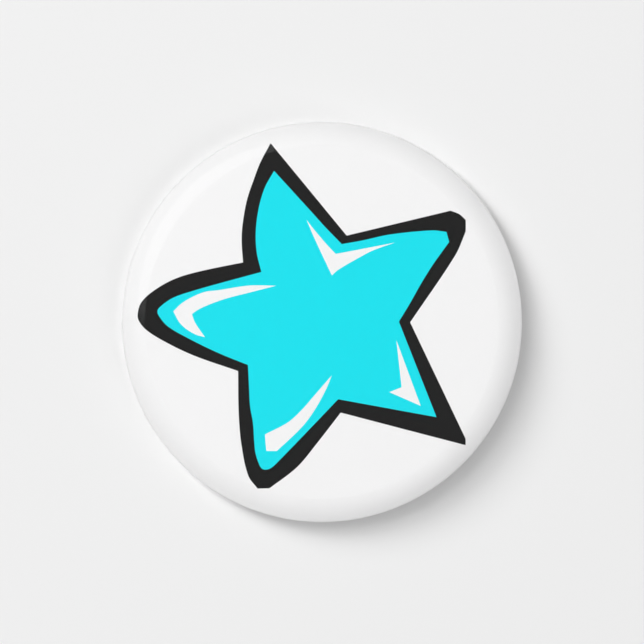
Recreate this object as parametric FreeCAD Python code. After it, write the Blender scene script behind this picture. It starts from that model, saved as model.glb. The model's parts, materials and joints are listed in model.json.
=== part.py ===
import FreeCAD
import Part
import math
import os

# A 57 mm (2 1/4 inch) pin-back button badge, lying on its back with its face up.
# The face is a clear film over a printed paper sheet over a domed tinplate shell, all rolled
# together round the rim and turned in behind it. A dished back plate is locked inside the roll.
# A brooch clasp is riveted in the dish: a bar with two ears and a catch ring, a hinged pin stem,
# and a barrel in the ring that turns over the stem to lock it.
#
# Frame: millimetres, +Z out of the face, +Y towards the top of the print, +X to the right seen from
# the front. The origin is the centre of the plane that the rolled rim rests on.

# ---- driving dimensions of the badge body ----
BADGE_RADIUS = 28.6
FILM_THICK = 0.10
PAPER_THICK = 0.12
SHELL_THICK = 0.28
PLATE_THICK = 0.28
AIR = 0.02                 # gap between two layers that lie on each other

# ---- section of the face and rim: turns in degrees, radii on the film's outer surface ----
FACE_SLOPE = 4.5           # slope of the dome where it meets the shoulder
CREASE_RADIUS = 1.5
CREASE_TURN = 7.5
SHOULDER_RADIUS = 5.6
SHOULDER_TURN = 33.0
EDGE_RADIUS = 2.05
EDGE_TURN = 90.0 - FACE_SLOPE - CREASE_TURN - SHOULDER_TURN
SIDE_HEIGHT = 0.20
ROLL_RADIUS = 1.25         # where the side turns in under the rim
LAND_WIDTH = 0.50          # flat ring that the badge rests on
HEM_RADIUS = 1.05          # where the rim turns up again, inside
HEM_HEIGHT = 0.15          # straight part up to the shell's cut edge
FOLD_RADIUS = 0.40         # film and paper fold out over the cut edge
TUCK_LENGTH = 0.60

# ---- back plate ----
DISH_DEPTH = 3.55          # rest plane to the floor of the dish
DISH_RADIUS = 17.2
DISH_BEND = 1.2
DISH_ANGLE = 50.0
BEAD_RADIUS = 0.8          # stiffening bead round the plate
BEAD_TURN = 30.0
BEAD_START = 22.4
FLANGE_RADIUS = 27.45      # inner face of the flange that stands in the rolled rim
FLANGE_BEND = 0.35
FLANGE_GAP = 0.26          # flange's edge above the bottom of the roll

# ---- clasp ----
BAR_THICK = 0.55
BAR_WIDTH = 5.0
BAR_LEFT = -9.4
BAR_RIGHT = 14.4
BAR_CORNER = 1.2
STEM_OVER_BAR = 1.45       # stem's centreline above the bar
STEM_RADIUS = 0.45
STEM_TIP_RADIUS = 0.40     # thinner where it lies in the catch
HINGE_X = -12.4
EAR_RADIUS = 1.15
EAR_THICK = 0.50
EAR_GAP = 1.10             # between the two ears
NECK_END = HINGE_X - EAR_RADIUS
EYE_RADIUS = 1.05
EYE_THICK = 0.90
THROAT_RADIUS = 0.38       # the wire is drawn thinner where it enters the eye
HEEL_REACH = 1.50          # stop that meets the bar when the stem stands wide open
HEEL_ANGLE = 45.0
HEEL_WIDTH = 0.70
HINGE_PIN_RADIUS = 0.50
RUNNING = 0.03             # radial clearance of the eye on its pin
FIT_GAP = 0.01             # radial clearance of a rivet in its hole
HINGE_HEAD_RADIUS = 0.85
HINGE_HEAD_THICK = 0.35
RING_START, RING_END = 10.5, 12.5
RING_RADIUS = 1.45
BARREL_RADIUS = 1.0
BARREL_GAP = 0.05
MOUTH_HALF = 0.56
RING_FOOT_HALF = 0.8
BARREL_START, BARREL_END = 9.9, 13.3
FLANGE_THICK = 0.50
BARREL_FLANGE = 1.30
BARREL_BORE = 0.52
SLOT_HALF = 0.51
LEVER_ANGLE = 160.0        # from +Y towards the back, seen along -X
LEVER_REACH = 2.3
LEVER_THICK = 0.70
LEVER_WIDTH = BARREL_END - RING_END - 0.1
SHANK_START, SHANK_END = -10.2, 9.3
TAPER_END = 9.8
POINT_START, POINT_END = 13.0, 15.2
POINT_RADIUS = 0.04
RIVET_X = 6.2
RIVET_RADIUS = 0.85
RIVET_HEAD_RADIUS = 1.5
RIVET_HEAD_THICK = 0.40
CLINCH_RADIUS = 1.4
CLINCH_THICK = 0.30

X_AXIS = FreeCAD.Vector(1, 0, 0)
Y_AXIS = FreeCAD.Vector(0, 1, 0)
Z_AXIS = FreeCAD.Vector(0, 0, 1)
CENTRE = FreeCAD.Vector(0, 0, 0)
BAR_FACE = DISH_DEPTH - BAR_THICK
STEM_Z = BAR_FACE - STEM_OVER_BAR


def sine(degrees):
    return math.sin(math.radians(degrees))


def cosine(degrees):
    return math.cos(math.radians(degrees))


# ---- sections that are turned about the badge's axis ----

def walk(start, steps, offset):
    """Edges of a path in the XZ plane that starts along +X, moved to its right by offset.

    A step is ("line", length) or ("arc", radius, degrees turned to the right)."""
    edges = []
    heading = 0.0
    point = FreeCAD.Vector(start[0], 0, start[1] - offset)
    for step in steps:
        along = FreeCAD.Vector(cosine(heading), 0, sine(heading))
        if step[0] == "line":
            end = point + along * step[1]
            edges.append(Part.LineSegment(point, end).toShape())
        else:
            side = math.copysign(1.0, step[2])
            radius = step[1] - side * offset
            right = FreeCAD.Vector(sine(heading), 0, -cosine(heading)) * side
            centre = point + right * radius

            def on_arc(turn):
                angle = heading - turn
                outward = FreeCAD.Vector(-sine(angle), 0, cosine(angle)) * side
                return centre + outward * radius

            end = on_arc(step[2])
            edges.append(Part.Arc(point, on_arc(step[2] / 2.0), end).toShape())
            heading -= step[2]
        point = end
    return edges


def ends(edges):
    """First and last point of a walk."""
    return edges[0].Vertexes[0].Point, edges[-1].Vertexes[-1].Point


def turned_sheet(start, steps, near, far):
    """A thin sheet that lies between two offsets of one path, turned about the Z axis."""
    outer = walk(start, steps, near)
    inner = walk(start, steps, far)
    outer_start, outer_end = ends(outer)
    inner_start, inner_end = ends(inner)
    edge_cut = Part.LineSegment(outer_end, inner_end).toShape()
    middle_cut = Part.LineSegment(inner_start, outer_start).toShape()
    wire = Part.Wire(Part.__sortEdges__(outer + [edge_cut] + inner + [middle_cut]))
    return Part.Face(wire).revolve(CENTRE, Z_AXIS, 360)


def shoulder_steps():
    """From the edge of the face to the upright side."""
    return [
        ("arc", CREASE_RADIUS, CREASE_TURN),
        ("arc", SHOULDER_RADIUS, SHOULDER_TURN),
        ("arc", EDGE_RADIUS, EDGE_TURN),
    ]


def shoulder_size():
    """How far out and how far down the shoulder goes."""
    heading, run, drop = FACE_SLOPE, 0.0, 0.0
    for _, radius, turn in shoulder_steps():
        run += radius * (sine(heading + turn) - sine(heading))
        drop += radius * (cosine(heading) - cosine(heading + turn))
        heading += turn
    return run, drop


SHOULDER_RUN, SHOULDER_DROP = shoulder_size()
FACE_RADIUS = BADGE_RADIUS - SHOULDER_RUN
DOME_RADIUS = FACE_RADIUS / sine(FACE_SLOPE)
DOME_RISE = DOME_RADIUS * (1 - cosine(FACE_SLOPE))
TOP = DOME_RISE + SHOULDER_DROP + SIDE_HEIGHT + ROLL_RADIUS


def face_and_rim():
    """The rim's section down to the shell's cut edge, on the film's outer surface."""
    return (
        [("arc", DOME_RADIUS, FACE_SLOPE)]
        + shoulder_steps()
        + [
            ("line", SIDE_HEIGHT),
            ("arc", ROLL_RADIUS, 90.0),
            ("line", LAND_WIDTH),
            ("arc", HEM_RADIUS, 90.0),
            ("line", HEM_HEIGHT),
        ]
    )


def folded_over():
    """Film and paper go on past the shell and fold out over its cut edge."""
    return face_and_rim() + [("arc", FOLD_RADIUS, 90.0), ("line", TUCK_LENGTH)]


PAPER_NEAR = FILM_THICK + AIR
SHELL_NEAR = PAPER_NEAR + PAPER_THICK + AIR
SHELL_FAR = SHELL_NEAR + SHELL_THICK


def cover_film():
    return turned_sheet((0, TOP), folded_over(), 0.0, FILM_THICK)


def printed_sheet():
    return turned_sheet((0, TOP), folded_over(), PAPER_NEAR, PAPER_NEAR + PAPER_THICK)


def front_shell():
    return turned_sheet((0, TOP), face_and_rim(), SHELL_NEAR, SHELL_FAR)


# ---- back plate ----

def plate_steps():
    """Rear surface of the back plate: dish, slanting wall, beaded ring and flange."""
    ring_level = HEM_RADIUS + HEM_HEIGHT + FOLD_RADIUS + AIR
    bends = 2 * DISH_BEND * (1 - cosine(DISH_ANGLE))
    wall = (DISH_DEPTH - ring_level - bends) / sine(DISH_ANGLE)
    ring_start = DISH_RADIUS + 2 * DISH_BEND * sine(DISH_ANGLE) + wall * cosine(DISH_ANGLE)
    bead_end = BEAD_START + 4 * BEAD_RADIUS * sine(BEAD_TURN)
    flange_end = SHELL_FAR + FLANGE_GAP
    return [
        ("line", DISH_RADIUS),
        ("arc", DISH_BEND, DISH_ANGLE),
        ("line", wall),
        ("arc", DISH_BEND, -DISH_ANGLE),
        ("line", BEAD_START - ring_start),
        ("arc", BEAD_RADIUS, BEAD_TURN),
        ("arc", BEAD_RADIUS, -2 * BEAD_TURN),
        ("arc", BEAD_RADIUS, BEAD_TURN),
        ("line", FLANGE_RADIUS - FLANGE_BEND - bead_end),
        ("arc", FLANGE_BEND, 90.0),
        ("line", ring_level - FLANGE_BEND - flange_end),
    ]


def back_plate():
    plate = turned_sheet((0, DISH_DEPTH), plate_steps(), 0.0, -PLATE_THICK)
    for x in (-RIVET_X, RIVET_X):
        hole = Part.makeCylinder(RIVET_RADIUS, 4 * PLATE_THICK, FreeCAD.Vector(x, 0, DISH_DEPTH - PLATE_THICK))
        plate = plate.cut(hole)
    return plate


# ---- clasp ----

def rod(radius, start, end, y=0.0, z=STEM_Z):
    """A round bar along X."""
    return Part.makeCylinder(radius, end - start, FreeCAD.Vector(start, y, z), X_AXIS)


def cross_rod(radius, start, end, x=HINGE_X, z=STEM_Z):
    """A round bar along Y."""
    return Part.makeCylinder(radius, end - start, FreeCAD.Vector(x, start, z), Y_AXIS)


def block(x0, x1, y0, y1, z0, z1):
    return Part.makeBox(x1 - x0, y1 - y0, z1 - z0, FreeCAD.Vector(x0, y0, z0))


def edges_where(shape, test):
    """Edges whose two ends and middle all pass the test."""
    found = []
    for edge in shape.Edges:
        middle = edge.valueAt((edge.FirstParameter + edge.LastParameter) / 2.0)
        points = [vertex.Point for vertex in edge.Vertexes] + [middle]
        if all(test(point) for point in points):
            found.append(edge)
    return found


def bar_strip():
    """The flat strip: wide where it is riveted, narrow where the ears fold up."""
    wide = block(BAR_LEFT, BAR_RIGHT, -BAR_WIDTH / 2, BAR_WIDTH / 2, BAR_FACE, DISH_DEPTH)
    corners = [edge for edge in wide.Edges if abs(edge.Vertexes[0].Z - edge.Vertexes[1].Z) > BAR_THICK / 2]
    wide = wide.makeFillet(BAR_CORNER, corners)
    half_neck = EAR_GAP / 2 + EAR_THICK
    neck = block(NECK_END, BAR_LEFT + BAR_CORNER, -half_neck, half_neck, BAR_FACE, DISH_DEPTH)
    return wide.fuse(neck)


def ear(side):
    """One ear of the hinge, standing on the strip's edge."""
    inner = EAR_GAP / 2
    outer = inner + EAR_THICK
    y0, y1 = (inner, outer) if side > 0 else (-outer, -inner)
    upright = block(HINGE_X - EAR_RADIUS, HINGE_X + EAR_RADIUS, y0, y1, STEM_Z, DISH_DEPTH)
    return upright.fuse(cross_rod(EAR_RADIUS, y0, y1))


def catch_ring():
    """The curled catch: a ring with a mouth at the back, on a short foot."""
    ring = rod(RING_RADIUS, RING_START, RING_END)
    foot = block(RING_START, RING_END, -RING_FOOT_HALF, RING_FOOT_HALF, STEM_Z, BAR_FACE + BAR_THICK / 2)
    mouth = block(RING_START - 1, RING_END + 1, -MOUTH_HALF, MOUTH_HALF, STEM_Z - 2 * RING_RADIUS, STEM_Z)
    bore = rod(BARREL_RADIUS + BARREL_GAP, RING_START - 1, RING_END + 1)
    return ring.fuse(foot).cut(bore).cut(mouth)


def pin_bar():
    bar = bar_strip().fuse([ear(1), ear(-1), catch_ring()])
    bar = bar.cut(cross_rod(HINGE_PIN_RADIUS, -BAR_WIDTH, BAR_WIDTH))
    for x in (-RIVET_X, RIVET_X):
        hole = Part.makeCylinder(RIVET_RADIUS, 3 * BAR_THICK, FreeCAD.Vector(x, 0, BAR_FACE - BAR_THICK))
        bar = bar.cut(hole)
    bar = bar.removeSplitter()
    half_neck = EAR_GAP / 2 + EAR_THICK

    def on_fold(point):
        at_side = abs(abs(point.y) - half_neck) < 1e-4
        return at_side and abs(point.z - DISH_DEPTH) < 1e-4 and point.x < BAR_LEFT + 0.5

    return bar.makeFillet(0.3, edges_where(bar, on_fold))


def bar_rivets():
    """Two rivets: a low domed head on the bar and a clinched end inside the badge."""
    rivets = []
    for x in (-RIVET_X, RIVET_X):
        clinch_top = DISH_DEPTH + PLATE_THICK + CLINCH_THICK
        shank_length = clinch_top - BAR_FACE + RIVET_HEAD_THICK
        head_bottom = FreeCAD.Vector(x, 0, BAR_FACE - RIVET_HEAD_THICK)
        shank = Part.makeCylinder(RIVET_RADIUS - FIT_GAP, shank_length, head_bottom)
        head = Part.makeCylinder(RIVET_HEAD_RADIUS, RIVET_HEAD_THICK, head_bottom)
        rim = edges_where(head, lambda p: abs(p.z - head_bottom.z) < 1e-6)
        head = head.makeFillet(RIVET_HEAD_THICK * 0.85, [edge for edge in rim if edge.Length > 5])
        clinch_base = FreeCAD.Vector(x, 0, DISH_DEPTH + PLATE_THICK)
        clinch = Part.makeCylinder(CLINCH_RADIUS, CLINCH_THICK, clinch_base)
        rivets.append(shank.fuse([head, clinch]).removeSplitter())
    return Part.makeCompound(rivets)


def hinge_rivet():
    """The hinge's pin, with a rounded head outside each ear."""
    outer = EAR_GAP / 2 + EAR_THICK
    pin = cross_rod(HINGE_PIN_RADIUS - FIT_GAP, -outer, outer)
    heads = []
    for start in (outer, -outer - HINGE_HEAD_THICK):
        head = cross_rod(HINGE_HEAD_RADIUS, start, start + HINGE_HEAD_THICK)
        face = max(start, start + HINGE_HEAD_THICK, key=abs)
        rim = [edge for edge in head.Edges if edge.Length > 3 and abs(edge.Vertexes[0].Y - face) < 1e-6]
        heads.append(head.makeFillet(HINGE_HEAD_THICK * 0.7, rim))
    return pin.fuse(heads).removeSplitter()


def stem_heel():
    """A stop on the eye that meets the bar when the stem is wide open."""
    half = HEEL_WIDTH / 2
    heel = block(-HEEL_REACH, 0, -EYE_THICK / 2, EYE_THICK / 2, -half, half)
    heel.rotate(CENTRE, Y_AXIS, -HEEL_ANGLE)
    heel.translate(FreeCAD.Vector(HINGE_X, 0, STEM_Z))
    return heel


def pin_stem():
    """The needle: a flattened eye, a plain shank, a thinner end in the catch, and a point."""
    eye = cross_rod(EYE_RADIUS, -EYE_THICK / 2, EYE_THICK / 2)
    throat = Part.makeCone(
        THROAT_RADIUS, STEM_RADIUS, SHANK_START - HINGE_X, FreeCAD.Vector(HINGE_X, 0, STEM_Z), X_AXIS
    )
    shank = rod(STEM_RADIUS, SHANK_START, SHANK_END)
    taper = Part.makeCone(
        STEM_RADIUS, STEM_TIP_RADIUS, TAPER_END - SHANK_END, FreeCAD.Vector(SHANK_END, 0, STEM_Z), X_AXIS
    )
    tip = rod(STEM_TIP_RADIUS, TAPER_END, POINT_START)
    point = Part.makeCone(
        STEM_TIP_RADIUS, POINT_RADIUS, POINT_END - POINT_START, FreeCAD.Vector(POINT_START, 0, STEM_Z), X_AXIS
    )
    stem = eye.fuse([throat, stem_heel(), shank, taper, tip, point])
    hole = cross_rod(HINGE_PIN_RADIUS + RUNNING, -EYE_THICK, EYE_THICK)
    return stem.cut(hole).removeSplitter()


def lever():
    """The thumb lever on the barrel's outer flange."""
    start = BARREL_END - LEVER_WIDTH
    reach = LEVER_REACH - LEVER_THICK / 2
    tab = block(start, BARREL_END, 0, reach, -LEVER_THICK / 2, LEVER_THICK / 2)
    tab = tab.fuse(rod(LEVER_THICK / 2, start, BARREL_END, y=reach, z=0))
    tab.rotate(CENTRE, X_AXIS, -LEVER_ANGLE)
    tab.translate(FreeCAD.Vector(0, 0, STEM_Z))
    return tab


def catch_barrel():
    """The barrel that turns in the catch ring: slotted from end to end, a flange at each end."""
    outer_flange = BARREL_END - LEVER_WIDTH
    body = rod(BARREL_RADIUS, BARREL_START, BARREL_END)
    inner = rod(BARREL_FLANGE, BARREL_START, BARREL_START + FLANGE_THICK)
    outer = rod(BARREL_FLANGE, outer_flange, BARREL_END)
    barrel = body.fuse([inner, outer, lever()])
    bore = rod(BARREL_BORE, BARREL_START - 1, BARREL_END + 1)
    slot = block(BARREL_START - 1, BARREL_END + 1, -SLOT_HALF, SLOT_HALF, STEM_Z - 2 * RING_RADIUS, STEM_Z)
    return barrel.cut(bore).cut(slot).removeSplitter()


PIECES = (
    cover_film,
    printed_sheet,
    front_shell,
    back_plate,
    pin_bar,
    bar_rivets,
    hinge_rivet,
    pin_stem,
    catch_barrel,
)

os.makedirs("parts", exist_ok=True)
print(f"face radius {FACE_RADIUS:.2f}, dome radius {DOME_RADIUS:.1f}, rise {DOME_RISE:.2f}, height {TOP:.2f}")
for make in PIECES:
    shape = make()
    shape.exportStep(f"parts/{make.__name__}.step")
    print(f"{make.__name__:14s} solids {len(shape.Solids)} valid {shape.isValid()} volume {shape.Volume:.3f} mm3")
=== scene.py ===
# %% [markdown]
# # A pin-back button badge
#
# The badge is 57 mm wide and a little over 5 mm high. Its face is a printed paper sheet under a clear
# film, both stretched over a domed tin shell and rolled in behind its rim. A dished back plate is
# locked inside the roll, and a brooch clasp is riveted in the dish.
#
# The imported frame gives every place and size. Its small clasp and its thin layers are rebuilt here
# with finer curves and softened edges, because bright metal and glossy film show every facet.

# %% Load the frame
import json
import math

import bpy
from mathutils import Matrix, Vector


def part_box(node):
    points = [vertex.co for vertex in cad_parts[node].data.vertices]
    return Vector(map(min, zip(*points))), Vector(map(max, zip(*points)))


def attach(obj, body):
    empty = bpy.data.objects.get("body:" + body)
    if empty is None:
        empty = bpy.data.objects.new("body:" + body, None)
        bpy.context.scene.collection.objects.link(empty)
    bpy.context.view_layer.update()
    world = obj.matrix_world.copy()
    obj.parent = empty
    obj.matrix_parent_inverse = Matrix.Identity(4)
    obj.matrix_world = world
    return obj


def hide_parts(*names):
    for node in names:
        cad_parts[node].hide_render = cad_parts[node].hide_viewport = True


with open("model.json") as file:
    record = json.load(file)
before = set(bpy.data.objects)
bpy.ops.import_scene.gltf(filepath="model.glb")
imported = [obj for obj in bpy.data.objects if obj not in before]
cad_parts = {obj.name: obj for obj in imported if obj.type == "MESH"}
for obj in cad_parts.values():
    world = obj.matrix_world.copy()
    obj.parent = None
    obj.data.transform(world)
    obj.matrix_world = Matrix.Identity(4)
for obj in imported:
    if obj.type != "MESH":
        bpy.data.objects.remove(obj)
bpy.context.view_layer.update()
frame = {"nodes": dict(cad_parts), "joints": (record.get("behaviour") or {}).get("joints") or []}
MM = 0.001

# %% [markdown]
# ## Working in edit mode
#
# Every piece starts from a plane or a cylinder and is shaped in edit mode. Operators act on all that
# is selected, and the frame's own pieces come in selected, so each tool first deselects everything and
# then picks its one piece. A line is drawn from a single point, which is a plane merged at its middle.

# %% Tools for editing
RIGHT, BACK, UP = Vector((1, 0, 0)), Vector((0, 1, 0)), Vector((0, 0, 1))
DEGREE = math.radians(1)
WELD = 1e-4 * MM


def pick(piece):
    """Selects one piece and nothing else, and makes it the active one."""
    bpy.ops.object.select_all(action="DESELECT")
    piece.select_set(True)
    bpy.context.view_layer.objects.active = piece


def edit(piece):
    """Opens one piece in edit mode with everything in it selected."""
    pick(piece)
    bpy.ops.object.mode_set(mode="EDIT")
    bpy.ops.mesh.select_all(action="SELECT")


def done():
    bpy.ops.object.mode_set(mode="OBJECT")


def extrude(way):
    """Extrudes what is selected along a way, a vector in millimetres."""
    bpy.ops.mesh.extrude_region_move(TRANSFORM_OT_translate={"value": way * MM})


def join(piece, into):
    """Joins a piece to another."""
    pick(into)
    piece.select_set(True)
    bpy.ops.object.join()


def one_point(name, place):
    """A new piece, open in edit mode, that is a single selected point. Its place is in millimetres."""
    bpy.ops.object.select_all(action="DESELECT")
    bpy.ops.mesh.primitive_plane_add(size=MM, location=(0, 0, 0))
    piece = bpy.context.object
    piece.name = piece.data.name = name
    bpy.ops.object.mode_set(mode="EDIT")
    bpy.ops.mesh.select_mode(type="VERT")
    bpy.ops.mesh.merge(type="CENTER")
    bpy.ops.transform.translate(value=place * MM)
    return piece


# %% [markdown]
# ## Drawing a section
#
# Pressed and rolled sheet metal is best described by its section: straight runs and round bends.
# The section is drawn as a modeller would draw it, one point extruded along each run and spun round
# each bend, and the whole section is then spun round the badge's axis. Each layer of the badge is the
# same section moved inwards, so one list of steps serves film and paper alike.

# %% Tools for sections
BEND_STEP = 5.5            # degrees of bend to each facet
ROUND_STEPS = 320          # facets round the badge


def draw_section(name, start, steps, offset=0.0):
    """Draws a section in the XZ plane that sets off along +X, moved to its right by offset.

    A step is ("line", length) or ("arc", radius, degrees turned to the right), in millimetres."""
    place = RIGHT * start[0] + UP * (start[1] - offset)
    piece = one_point(name, place)
    heading = 0.0
    for step in steps:
        ahead = RIGHT * math.cos(heading) - UP * math.sin(heading)
        if step[0] == "line":
            extrude(ahead * step[1])
            place = place + ahead * step[1]
            continue
        radius, turn = step[1], step[2] * DEGREE
        side = math.copysign(1, turn)
        to_right = -RIGHT * math.sin(heading) - UP * math.cos(heading)
        centre = place + to_right * side * (radius - side * offset)
        count = step[3] if len(step) > 3 else max(2, round(abs(step[2]) / BEND_STEP))
        bpy.ops.mesh.spin(steps=count, angle=abs(turn), center=centre * MM, axis=-BACK * side)
        heading += turn
        to_right = -RIGHT * math.sin(heading) - UP * math.cos(heading)
        place = centre - to_right * side * (radius - side * offset)
    return piece


def spin_round(centre=Vector(), axis=UP, steps=ROUND_STEPS):
    """Spins the open piece's section full circle, and closes its seam and its poles."""
    bpy.ops.mesh.select_all(action="SELECT")
    bpy.ops.mesh.spin(steps=steps, angle=math.tau, center=centre * MM, axis=axis)
    bpy.ops.mesh.select_all(action="SELECT")
    bpy.ops.mesh.remove_doubles(threshold=WELD)
    bpy.ops.mesh.normals_make_consistent(inside=False)


# %% [markdown]
# ## Finishing a piece
#
# An open sheet has no inside, so after spinning it may face either way, and it is turned over when
# its middle looks backwards. Modifiers are applied as soon as they are added, so that what is made is
# plain mesh. Smooth shading keeps real edges sharp.

# %% Tools for finishing
def face_forward(piece):
    """Turns an open sheet over if the face at its middle looks backwards."""
    middle = min(piece.data.polygons, key=lambda face: face.center.xy.length)
    if middle.normal.z < 0:
        edit(piece)
        bpy.ops.mesh.flip_normals()
        done()


def apply(piece, kind, **settings):
    """Adds a modifier with these settings and applies it."""
    pick(piece)
    modifier = piece.modifiers.new(kind.lower(), kind)
    for name, value in settings.items():
        setattr(modifier, name, value)
    bpy.ops.object.modifier_apply(modifier=modifier.name)


def smooth(piece, angle=30):
    """Smooth shading, with edges sharper than the angle kept."""
    pick(piece)
    bpy.ops.object.shade_smooth_by_angle(angle=angle * DEGREE)
    size = [round(value / MM, 2) for value in piece.dimensions]
    print(f"{piece.name}: {len(piece.data.polygons)} faces, {size} mm")


# %% [markdown]
# ## The rim's section
#
# A press pushes the shell, the sheet and the film together into a ring die, which leaves a low dome,
# a faint crease where the printing area ends, a rounded shoulder, and a hem that turns in and up
# behind. These are the bends of the outermost surface, from the middle of the face to the hidden end
# of the film. The dome's radius follows from the slope that it must have at its edge.

# %% Steps of the rim
film_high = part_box("cover_film")[1]
BADGE_RADIUS = film_high.x / MM
TOP = film_high.z / MM
FACE_SLOPE = 4.5           # degrees, at the edge of the face
CREASE = ("arc", 1.5, 7.5)
SHOULDER = ("arc", 5.6, 33.0)
EDGE = ("arc", 2.05, 90.0 - FACE_SLOPE - CREASE[2] - SHOULDER[2], 12)


def shoulder_run():
    """How far out the three bends of the shoulder reach together."""
    heading, run = FACE_SLOPE, 0.0
    for _, radius, turn, *_ in (CREASE, SHOULDER, EDGE):
        run += radius * (math.sin((heading + turn) * DEGREE) - math.sin(heading * DEGREE))
        heading += turn
    return run


FACE_RADIUS = BADGE_RADIUS - shoulder_run()
DOME_RADIUS = FACE_RADIUS / math.sin(FACE_SLOPE * DEGREE)
RIM_STEPS = [
    ("arc", DOME_RADIUS, FACE_SLOPE, 24),
    CREASE,
    SHOULDER,
    EDGE,
    ("line", 0.20),        # the rim's upright side
    ("arc", 1.25, 90.0),   # round to the underside
    ("line", 0.25),        # the flat that the badge lies on
    ("line", 0.25),
    ("arc", 1.05, 90.0),   # the hem, turning up inside
    ("line", 0.15),
    ("arc", 0.40, 90.0),   # over the shell's cut edge
    ("line", 0.60),        # the hidden end
]
print(f"face radius {FACE_RADIUS:.2f} mm, dome radius {DOME_RADIUS:.0f} mm")

# %% [markdown]
# ## Pleats in the hem
#
# Flat film and paper have too much edge for the smaller circle behind the rim, so they pucker into
# fine pleats there. A displacement along the surface does this, read from a cloud noise on a circle so
# that each pleat runs inwards, and held by weights to the stretch between the rim's flat underside and
# the back plate. Film and paper take the same noise, so they stay together.

# %% Tool for the pleats
PLEAT_DEPTH = 0.16
RIM_FLAT_END = 26.85       # radius where the flat underside ends and the hem turns up
HEM_TOP = 1.45             # height where the hem goes under the back plate
pleat_noise = bpy.data.textures.new("pleat_noise", "CLOUDS")
pleat_noise.noise_scale = 0.035
pleat_noise.noise_depth = 1
pleat_noise.contrast = 2.2


def pleat_weight(place):
    """1 half way up the hem, 0 on the rim's underside and under the back plate."""
    if place.z > HEM_TOP * MM or place.xy.length > RIM_FLAT_END * MM:
        return 0.0
    rise = place.z / (HEM_TOP * MM)
    return math.sin(math.pi * max(0.0, rise)) ** 0.7


def pleat(piece):
    """Puckers the hem of an open sheet."""
    circle = piece.data.uv_layers.new(name="circle")
    for loop in piece.data.loops:
        place = piece.data.vertices[loop.vertex_index].co
        out = place.xy.normalized() if place.xy.length > WELD else Vector((0, 0))
        circle.data[loop.index].uv = (out + Vector((1, 1))) / 2
    hem = piece.vertex_groups.new(name="hem")
    for vertex in piece.data.vertices:
        weight = pleat_weight(vertex.co)
        if weight > 0:
            hem.add([vertex.index], weight, "REPLACE")
    apply(
        piece, "DISPLACE", texture=pleat_noise, texture_coords="UV", uv_layer="circle",
        vertex_group="hem", direction="NORMAL", mid_level=0.0, strength=PLEAT_DEPTH * MM,
    )
    piece.data.uv_layers.remove(piece.data.uv_layers["circle"])


# %% [markdown]
# ## The cover film
#
# The outermost layer is a clear polyester film a tenth of a millimetre thick. It is drawn on its outer
# surface and given its thickness inwards by Solidify, so its inside is parallel to its outside.

# %% Cover film
FILM_THICK = 0.10
film = draw_section("film_over_face", (0, TOP), RIM_STEPS)
spin_round()
done()
face_forward(film)
pleat(film)
apply(film, "SOLIDIFY", thickness=FILM_THICK * MM, offset=-1.0, use_even_offset=True)
smooth(film)
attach(film, "badge")
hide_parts("cover_film")

# %% [markdown]
# ## The star's outlines
#
# The print is a plain cartoon star: black round the outside, cyan within, and four white glints where
# the paper is left bare. Each outline is a closed curve with a knot at every corner and a few on the
# rounded stretches. A smooth knot's handles lie along the line between its neighbours.

# %% Knots of the star, in millimetres from the badge's middle
BLACK_EDGE = """
    -7.3 25.4 corner, 3.5 12.25 corner, 18.25 15.8 corner, 19.5 15.3 smooth, 20.4 14.5 corner,
    20.4 12.85 corner, 18.9 9.45 smooth, 12.5 -0.05 corner, 20.4 -16.6 corner,
    20.4 -17.5 corner, 2.65 -12.85 corner, -0.75 -17.25 smooth, -3.55 -20.6 smooth,
    -7.45 -23.6 corner, -9.15 -23.65 corner, -10.45 -21.85 smooth, -11.4 -17.65 smooth,
    -11.8 -13.3 smooth, -11.9 -6.95 corner,
    -17.7 -4.95 smooth, -21.45 -3.25 smooth, -24.8 -1.25 smooth, -26.05 0.25 smooth,
    -26.15 1.35 smooth, -25.65 2.8 smooth, -23.95 4.4 smooth, -21.05 6.05 smooth,
    -17.7 7.1 smooth, -11.2 8.45 corner, -11.4 11.5 smooth, -11.25 13.95 smooth,
    -10.65 17.3 smooth, -9.65 20.3 smooth, -8.75 22.65 smooth
"""
CYAN_EDGE = """
    -6.8 21.45 corner, -1.15 15.25 smooth, 0.5 13.42 smooth, 2.8 11.05 corner, 5.65 11.55 smooth,
    9.55 12.4 smooth, 15.55 13.0 smooth, 17.65 12.8 corner, 18.05 11.35 corner, 15.85 8.3 smooth,
    14.15 5.6 smooth, 12.45 2.6 smooth, 10.9 0.05 corner, 16.25 -13.5 corner, 2.3 -10.95 corner,
    -6.5 -20.1 smooth, -7.5 -20.85 smooth, -8.45 -20.85 smooth, -9.0 -20.0 smooth,
    -9.5 -18.25 smooth, -9.8 -14.3 smooth, -10.2 -12.0 smooth, -10.35 -9.3 smooth,
    -10.5 -6.1 corner, -14.8 -4.35 smooth, -19.0 -2.3 smooth, -21.9 -0.6 smooth,
    -23.1 0.8 smooth, -23.35 1.6 smooth, -22.7 2.4 smooth,
    -21.0 3.5 smooth, -18.2 4.45 smooth, -14.8 5.42 smooth, -8.6 7.1 corner, -9.25 9.8 smooth,
    -9.4 12.75 smooth, -9.0 16.05 smooth, -8.15 19.0 smooth
"""
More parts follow.
